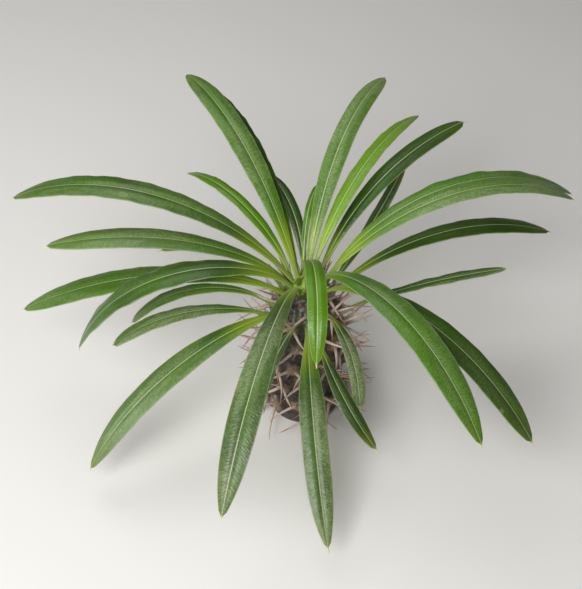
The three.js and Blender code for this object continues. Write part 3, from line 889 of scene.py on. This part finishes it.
def wool_material(look):
    """Dry plant hair: dusty grey-brown and matt, with a little sheen at its edges."""
    material, node = new_material("Areole wool")
    place = node("TexCoord", None, "Object")
    dusty = node("TexNoise", {"Vector": place, "Scale": 1 / (WOOL_PATCH * MM), "Detail": 2.0})
    hair = painted(node, tuple(look.wool), ((look.bark_worn_and_highlit, 1.0, dusty),))
    finish_material(node, Base_Color=hair, Roughness=0.8, Sheen_Weight=0.3)
    return material


def floor_material(look):
    """Painted board: pale, plain and matt."""
    material, node = new_material("Painted board")
    finish_material(node, Base_Color=tuple(look.floor), Roughness=0.75)
    return material


# ---- Pieces ----

def stem_shape(look):
    """The swollen stem with its knobs, folds, wrinkles, leaf cushions and the pads round the spines."""
    outline = spline(STEM_PROFILE, STEM_FINE_LEVELS)
    radius, z = outline[:, :1], outline[:, 1:]
    azimuth = (np.arange(STEM_FINE_SIDES) * 2 * math.pi / STEM_FINE_SIDES)[None, :]
    fade = np.clip(z / PLAIN_FOOT, 0, 1) * np.clip(radius / PLAIN_TIP, 0, 1)
    knobs = stem_relief(azimuth, z, radius)
    crease = bump(knobs, FOLD_RELIEF) * look.crease_depth / MM * np.clip((CROWN_TOP - z) / FOLDS_END, 0, 1)
    pads = np.zeros_like(knobs)
    for path in SPINES:
        x, y, root_z = path["skin"]
        away = np.hypot(*skin_distance(azimuth, z, radius, (math.atan2(y, x), root_z)))
        pads = np.maximum(pads, bump(away, PAD_SPREAD))
    length = look.wrinkle_length / MM
    around = np.broadcast_to(azimuth, knobs.shape)
    level = np.broadcast_to(z, knobs.shape)
    spots = np.stack([np.cos(around) * WRINKLE_RADIUS, np.sin(around) * WRINKLE_RADIUS,
                      level * WRINKLE_FLATNESS], -1) / length
    wrinkles = [noise.fractal(Vector(spot), *WRINKLE_FRACTAL) for spot in spots.reshape(-1, 3)]
    wrinkles = np.array(wrinkles).reshape(knobs.shape)
    relief = knobs - crease + (pads * look.pad_height + wrinkles * look.wrinkle_height) / MM
    reach = radius + fade * relief
    points = np.stack([reach * np.cos(azimuth), reach * np.sin(azimuth), level], -1)
    # The first column sets the bark's colour: a painted highlight on knob crowns and wrinkle ridges, painted
    # shade in folds and troughs.
    state = np.stack([knobs - crease + wrinkles * WRINKLE_TINT, level, pads], -1)
    return loft(np.concatenate([points, state], -1))


def spine_shape(path, number, look):
    """One spine: a curved, tapering horn that flares at its sunk root."""
    root = path["skin"] + path["way"] * (SKIN_DEPTH - SPINE_SINK)
    control = 2 * path["middle"] - (root + path["tip"]) / 2
    t = np.linspace(0, 1, SPINE_RINGS)[:, None]
    curve = (1 - t) ** 2 * root + 2 * t * (1 - t) * control + t ** 2 * path["tip"]
    t = t[:, 0]
    radius = mix(look.root_radius, look.tip_radius, t ** SPINE_TAPER) / MM
    radius *= 1 + SPINE_FLARE * bump(t, FLARE_SHARE)
    radius *= 1 - POINT_LOSS * np.clip((t - 1 + POINT_SHARE) / POINT_SHARE, 0, 1)
    columns = np.stack([t, np.full_like(t, path["crown"]), np.full_like(t, number)], -1)
    return loft(tube_rings(curve, radius, SPINE_SIDES, columns))


def wool_shape(look):
    """Short curved hairs that stand round the roots of the spines."""
    draw = random.Random(SEED)
    hairs = []
    for path in SPINES:
        outward = unit(path["skin"] * (1, 1, 0))
        side = np.cross((0, 0, 1), outward)
        for _ in range(HAIRS_AT_SPINE):
            turn = draw.uniform(0, 2 * math.pi)
            lean = math.cos(turn) * side + math.sin(turn) * np.array((0, 0, 1))
            root = path["skin"] + lean * draw.uniform(*HAIR_PLACES) - outward * HAIR_SINK
            reach = look.wool_length / MM * draw.uniform(*HAIR_LENGTHS)
            tip = root + (outward * HAIR_RISE + lean * draw.uniform(*HAIR_LEANS)) * reach
            bent = (root + tip) / 2 + lean * draw.uniform(*HAIR_BENDS) + outward * HAIR_BOW
            t = np.linspace(0, 1, HAIR_RINGS)[:, None]
            curve = (1 - t) ** 2 * root + 2 * t * (1 - t) * bent + t ** 2 * tip
            radii = mix(*HAIR_RADII, t[:, 0])
            hairs.append(loft(tube_rings(curve, radii, HAIR_SIDES, np.zeros((HAIR_RINGS, 3)))))
    return joined(hairs)


def leaf_path(leaf, blade_end, draw):
    """The rings of a leaf: their places, their shares of its length, their ways across and up, and how far
    along the cusp each one lies."""
    blade = np.linspace(0, blade_end, LEAF_STEPS * RINGS_PER_STEP)
    t = np.concatenate([blade, np.linspace(blade_end, 1, CUSP_RINGS)[1:]])
    along, across, up = leaf_ways(leaf, t)
    coarse = np.arange(LEAF_STEPS + 1) / LEAF_STEPS
    place = np.stack([np.interp(t, coarse, column) for column in leaf_places(leaf).T], -1)

    # The cusp past the blade's end curls under, and a little to one side.
    cusp = np.clip((t - blade_end) / (1 - blade_end), 0, 1)
    curl = np.radians(draw.uniform(0, CUSP_CURL)) * cusp ** 2
    hook = np.radians(draw.uniform(-CUSP_HOOK, CUSP_HOOK)) * cusp ** 2
    curled = along * np.cos(curl)[:, None] - up * np.sin(curl)[:, None] + across * np.sin(hook)[:, None]
    curled /= np.linalg.norm(curled, axis=1)[:, None]
    start = len(blade) - 1
    step = CUSP_LENGTH / (CUSP_RINGS - 1)
    place[start + 1:] = place[start] + np.cumsum(curled[start:-1] * step, axis=0)
    up = np.where(cusp[:, None] > 0, np.cross(curled, across), up)

    # The root runs on into the stem.
    place = np.concatenate([[place[0] - along[0] * ROOT_DEPTH], place])
    return place, *(np.concatenate([part[:1], part]) for part in (t, across, up, cusp))


def leaf_sizes(leaf, t, cusp):
    """Half the width, the thickness, the margin's thickness, and the shares of groove and stalk, by ring."""
    point = CUSP_HALF_WIDTH * (1 - CUSP_THINNING * cusp) * (t > STALK_END)
    half = np.maximum(half_width(leaf, t) * (1 - cusp) ** CUSP_HOLLOW, point)
    stalk = (1 - np.clip(t / STALK_END, 0, 1)) ** 2
    thinned = 1 - CUSP_THINNING * cusp
    thickness = mix(BLADE_THICKNESS, STALK_THICKNESS, stalk) * thinned
    margin = mix(MARGIN_THICKNESS, STALK_MARGIN, stalk) * thinned
    margin = np.minimum(margin, MARGIN_LIMIT * half)
    groove = 1 - np.clip((t - GROOVE_END) / (1 - GROOVE_END), 0, 1)
    return [sizes[:, None] for sizes in (half, thickness, margin, groove, stalk)]


def blade_waves(number, t, mm_along, s, draw, look):
    """How far a blade waves and swells up and down at places s across it."""
    a = np.abs(s)
    height = look.wave_height / MM * draw.uniform(*WAVE_HEIGHTS) * WAVY_LEAVES.get(number, 1)
    length = look.wave_length / MM * draw.uniform(*WAVE_LENGTHS)
    kinds = LEFT_WAVES + RIGHT_WAVES
    phases = [draw.uniform(0, 2 * math.pi) for _ in kinds]
    waved = np.clip((t - WAVES_START) / (WAVES_END - WAVES_START), 0, 1)
    open_blade = np.sin(math.pi * waved)[:, None]
    turns = mm_along[:, None] * 2 * math.pi / length
    waves = [part * np.sin(count * turns + phase) for (count, part), phase in zip(kinds, phases)]
    waves = height * a ** WAVE_GROWTH * np.where(s < 0, waves[0] + waves[1], waves[2] + waves[3])
    swells = np.sin(QUILT_TURNS * turns + a * QUILT_SLANT + phases[0]) * np.sin(math.pi * a)
    return open_blade * (waves + QUILT_HEIGHT * swells)


def leaf_shape(leaf, number, look):
    """One leaf: stalk, blade with a raised midrib in its groove, keel, rounded margins and curled cusp."""
    draw = random.Random(number)
    blade_end = 1 - CUSP_LENGTH / leaf["length"]
    place, t, across, up, cusp = leaf_path(leaf, blade_end, draw)
    half, thickness, margin, groove, stalk = leaf_sizes(leaf, t, cusp)
    mm_along = t * leaf["length"]
    body = half - margin / 2

    # Places across one half, finer by the midrib, then both halves.
    rib = np.minimum(np.array(RIB_PLACES) / body, RIB_LIMITS)
    outer = np.broadcast_to(BLADE_PLACES, (len(t), len(BLADE_PLACES)))
    one = np.concatenate([rib, outer], 1)
    s = np.concatenate([-one[:, :0:-1], one], 1)
    a, x = np.abs(s), s * body

    # The sheet rises to a crest on each side of the midrib and turns down to the margin.
    crest, drop = CREST_RISE * half, MARGIN_DROP * half
    inner = crest * (1 - ((a - CREST_PLACE) / CREST_PLACE) ** 2)
    past = np.clip((a - CREST_PLACE) / (1 - CREST_PLACE), 0, 1)
    sheet = np.where(a < CREST_PLACE, inner, crest - (crest + drop) * past ** OUTER_ROUNDING)
    sheet += blade_waves(number, t, mm_along, s, draw, look)

    # The midrib stands in a groove on the upper face, and its keel runs below on the lower face.
    raised = RIB_RISE * np.maximum(groove, RIB_LEAST) * bump(x, mix(RIB_WIDTH, STALK_RIB, stalk))
    top = sheet - GROOVE_DEPTH * groove * bump(x, GROOVE_WIDTH) + raised * (1 - cusp[:, None])
    keel = KEEL_DEPTH * (1 - KEEL_LOSS * t[:, None]) * bump(x, mix(KEEL_WIDTH, STALK_KEEL, stalk))
    keel = groove * (keel + GROOVE_DEPTH * bump(x, UNDER_GROOVE_WIDTH))
    bottom = sheet - mix(thickness, margin, a ** 2) - keel

    # Rounded margins close each ring: over the top, round one edge, back below and round the other.
    turn = np.radians(MARGIN_TURNS)[None, :]
    edge_n = (top[:, -1:] + bottom[:, -1:]) / 2 + margin / 2 * np.sin(turn)
    other_n = (top[:, :1] + bottom[:, :1]) / 2 - margin / 2 * np.sin(turn)
    edge_x = body + margin / 2 * np.cos(turn)
    ring_x = np.concatenate([x, edge_x, x[:, ::-1], -edge_x], 1)
    ring_n = np.concatenate([top, edge_n, bottom[:, ::-1], other_n], 1)
    points = place[:, None] + ring_x[..., None] * across[:, None] + ring_n[..., None] * up[:, None]

    # What the leaf's colours follow: the place on the blade, the part of the leaf, and the leaf's own state.
    round_edge = np.ones_like(edge_x)
    edge = np.concatenate([a, round_edge, a, round_edge], 1)
    under = np.concatenate([np.zeros_like(x), round_edge / 2, np.ones_like(x), round_edge / 2], 1)
    pattern = np.broadcast_to(mm_along[:, None] + number * PATTERN_STRETCH, ring_x.shape)
    share = np.broadcast_to((np.minimum(t / blade_end, 1) + cusp)[:, None], ring_x.shape)
    columns = np.stack([ring_x, pattern, edge, share, under, np.zeros_like(under)], -1)
    state = np.broadcast_to(LEAF_STATES[number - 1], (*ring_x.shape, 3))
    return loft(np.concatenate([points, columns, state], -1))


def bud_shape():
    """Furled leaflets in a ring on the stem's tip, each rolled round its midrib, joined at their feet."""
    top = STEM_PROFILE[-1][1]
    leaflets = []
    for k in range(BUD_LEAFLETS):
        azimuth = math.radians(BUD_TURN + k * 360 / BUD_LEAFLETS)
        outward, sideways = direction(azimuth, 0), direction(azimuth + math.pi / 2, 0)
        length = BUD_LENGTH * (1 - BUD_SHORTENING * k)
        rings = []
        for share in np.linspace(BUD_SHARES[0], BUD_SHARES[-1], BUD_RINGS):
            width = np.interp(share, BUD_SHARES, BUD_WIDTHS)
            lean = max(share, 0) * length * math.tan(math.radians(BUD_LEAN * share))
            centre = outward * (BUD_FOOT + lean) + (0, 0, top + share * length)
            turns = np.arange(BUD_SIDES) * 2 * math.pi / BUD_SIDES
            fold = 1 - BUD_FOLD * bump(np.abs(turns - math.pi), BUD_FOLD_WIDTH)
            out = BUD_THICKNESS / 2 * width * np.cos(turns) * fold
            side = BUD_WIDTH / 2 * width * np.sin(turns)
            ring = centre + np.outer(out, outward) + np.outer(side, sideways)
            columns = np.zeros((BUD_SIDES, 9))
            columns[:, 0] = side * BUD_PATTERN_SPREAD + BUD_PATTERN_START
            columns[:, 1] = share * length + k * PATTERN_STRETCH
            columns[:, 2] = BUD_MARGIN
            columns[:, 3] = BUD_FOOT_SHARE + BUD_SHOWN_SHARE * max(share, 0)
            rings.append(np.concatenate([ring, columns], 1))
        leaflets.append(loft(np.array(rings)))
    return joined(leaflets)


# ---- Operators ----

class PALM_OT_stem(bpy.types.Operator):
    """Build the swollen stem with its knobs and bark"""
    bl_idname = "palm.stem"
    bl_label = "Stem"

    def execute(self, context):
        look = context.scene.palm_stem
        add_piece("stem_bark", stem_shape(look), ["bark"], bark_material(look), "stem")
        return {"FINISHED"}


class PALM_OT_spines(bpy.types.Operator):
    """Build the spines, and the wool round their roots"""
    bl_idname = "palm.spines"
    bl_label = "Spines"

    def execute(self, context):
        look = context.scene.palm_spines
        spines = joined([spine_shape(path, i, look) for i, path in enumerate(SPINES)])
        add_piece("stem_spines", spines, ["spine"], spine_material(look), "stem")
        stem_look = context.scene.palm_stem
        add_piece("stem_wool", wool_shape(stem_look), [], wool_material(stem_look), "stem")
        return {"FINISHED"}


class PALM_OT_leaves(bpy.types.Operator):
    """Build every leaf with its stalk, midrib, waved margins and cusp"""
    bl_idname = "palm.leaves"
    bl_label = "Leaves"

    def execute(self, context):
        look = context.scene.palm_leaves
        grown = leaf_material("Waxy leaf", look, tuple(look.blade), tuple(look.deep_blade))
        young = leaf_material("Young waxy leaf", look, tuple(look.young_blade), tuple(look.deep_young_blade))
        for number, leaf in enumerate(LEAVES, 1):
            is_young = number in YOUNG_LEAVES
            node = f"leaf_{number:02d}"
            add_piece(f"{node}_blade", leaf_shape(leaf, number, look), ["blade", "leaf", "state"],
                      young if is_young else grown, node)
        return {"FINISHED"}


class PALM_OT_bud(bpy.types.Operator):
    """Build the furled young leaves at the growing tip"""
    bl_idname = "palm.bud"
    bl_label = "Bud"

    def execute(self, context):
        young = bpy.data.materials["Young waxy leaf"]
        add_piece("bud_leaflets", bud_shape(), ["blade", "leaf", "state"], young, "bud")
        return {"FINISHED"}


def add_light(name, power, width, place):
    """A square soft light that looks at the plant."""
    light = bpy.data.lights.new(name, "AREA")
    light.energy = power
    light.size = width
    lamp = bpy.data.objects.new(name, light)
    lamp.location = place
    lamp.rotation_euler = (Vector(LIGHT_TARGET) - Vector(place)).to_track_quat("-Z", "Y").to_euler()
    bpy.context.scene.collection.objects.link(lamp)


class PALM_OT_stage(bpy.types.Operator):
    """Set up the floor, the soft lights, the view and the camera"""
    bl_idname = "palm.stage"
    bl_label = "Stage"

    def execute(self, context):
        look = context.scene.palm_stage
        floor_mesh = bpy.data.meshes.new("floor")
        corners = [(x * FLOOR_REACH, y * FLOOR_REACH, 0) for x, y in ((-1, -1), (1, -1), (1, 1), (-1, 1))]
        floor_mesh.from_pydata(corners, [], [(0, 1, 2, 3)])
        floor_mesh.materials.append(floor_material(look))
        floor = bpy.data.objects.new("floor", floor_mesh)
        context.scene.collection.objects.link(floor)

        add_light("key_light", look.key_power, **KEY_LIGHT)
        add_light("side_light", look.side_power, **SIDE_LIGHT)
        add_light("rim_light", look.rim_power, **RIM_LIGHT)

        world = bpy.data.worlds.new("Studio")
        world.use_nodes = True
        background = world.node_tree.nodes["Background"]
        background.inputs["Color"].default_value = tuple(look.sky_colour)
        background.inputs["Strength"].default_value = look.sky_strength
        context.scene.world = world
        context.scene.view_settings.view_transform = "Standard"

        lens = bpy.data.cameras.new("camera")
        lens.sensor_width = SENSOR
        lens.lens = SENSOR * PIXELS_PER_METRE * CAMERA_DISTANCE / max(FRAME_SIZE)
        camera = bpy.data.objects.new("camera", lens)
        rise = math.radians(CAMERA_ELEVATION)
        back = Vector((0, -math.cos(rise), math.sin(rise)))
        camera.location = Vector(CAMERA_TARGET) + back * CAMERA_DISTANCE
        camera.rotation_euler = (math.pi / 2 - rise, 0, 0)
        context.scene.collection.objects.link(camera)
        context.scene.camera = camera
        return {"FINISHED"}


class VIEW3D_PT_palm(bpy.types.Panel):
    """Lists the plant's pieces and what can be changed about them"""
    bl_label = "Madagascar Palm"
    bl_space_type = "VIEW_3D"
    bl_region_type = "UI"
    bl_category = "Palm"

    def draw(self, context):
        for operator, group in STEPS:
            self.layout.operator(operator)
            settings = getattr(context.scene, group)
            for name in settings.__annotations__:
                self.layout.prop(settings, name)


STEPS = (
    ("palm.stem", "palm_stem"),
    ("palm.spines", "palm_spines"),
    ("palm.leaves", "palm_leaves"),
    ("palm.bud", "palm_leaves"),
    ("palm.stage", "palm_stage"),
)
SETTINGS = {
    "palm_stem": PalmStemSettings,
    "palm_spines": PalmSpineSettings,
    "palm_leaves": PalmLeafSettings,
    "palm_stage": PalmStageSettings,
}
CLASSES = (
    *SETTINGS.values(), PALM_OT_stem, PALM_OT_spines, PALM_OT_leaves, PALM_OT_bud, PALM_OT_stage,
    VIEW3D_PT_palm,
)


def register():
    for cls in CLASSES:
        bpy.utils.register_class(cls)
    for name, group in SETTINGS.items():
        setattr(bpy.types.Scene, name, PointerProperty(type=group))


def unregister():
    for name in SETTINGS:
        delattr(bpy.types.Scene, name)
    for cls in reversed(CLASSES):
        bpy.utils.unregister_class(cls)


def main():
    """Builds everything."""
    register()
    for operator, _ in STEPS:
        group, name = operator.split(".")
        getattr(getattr(bpy.ops, group), name)()


if __name__ == "__main__":
    main()
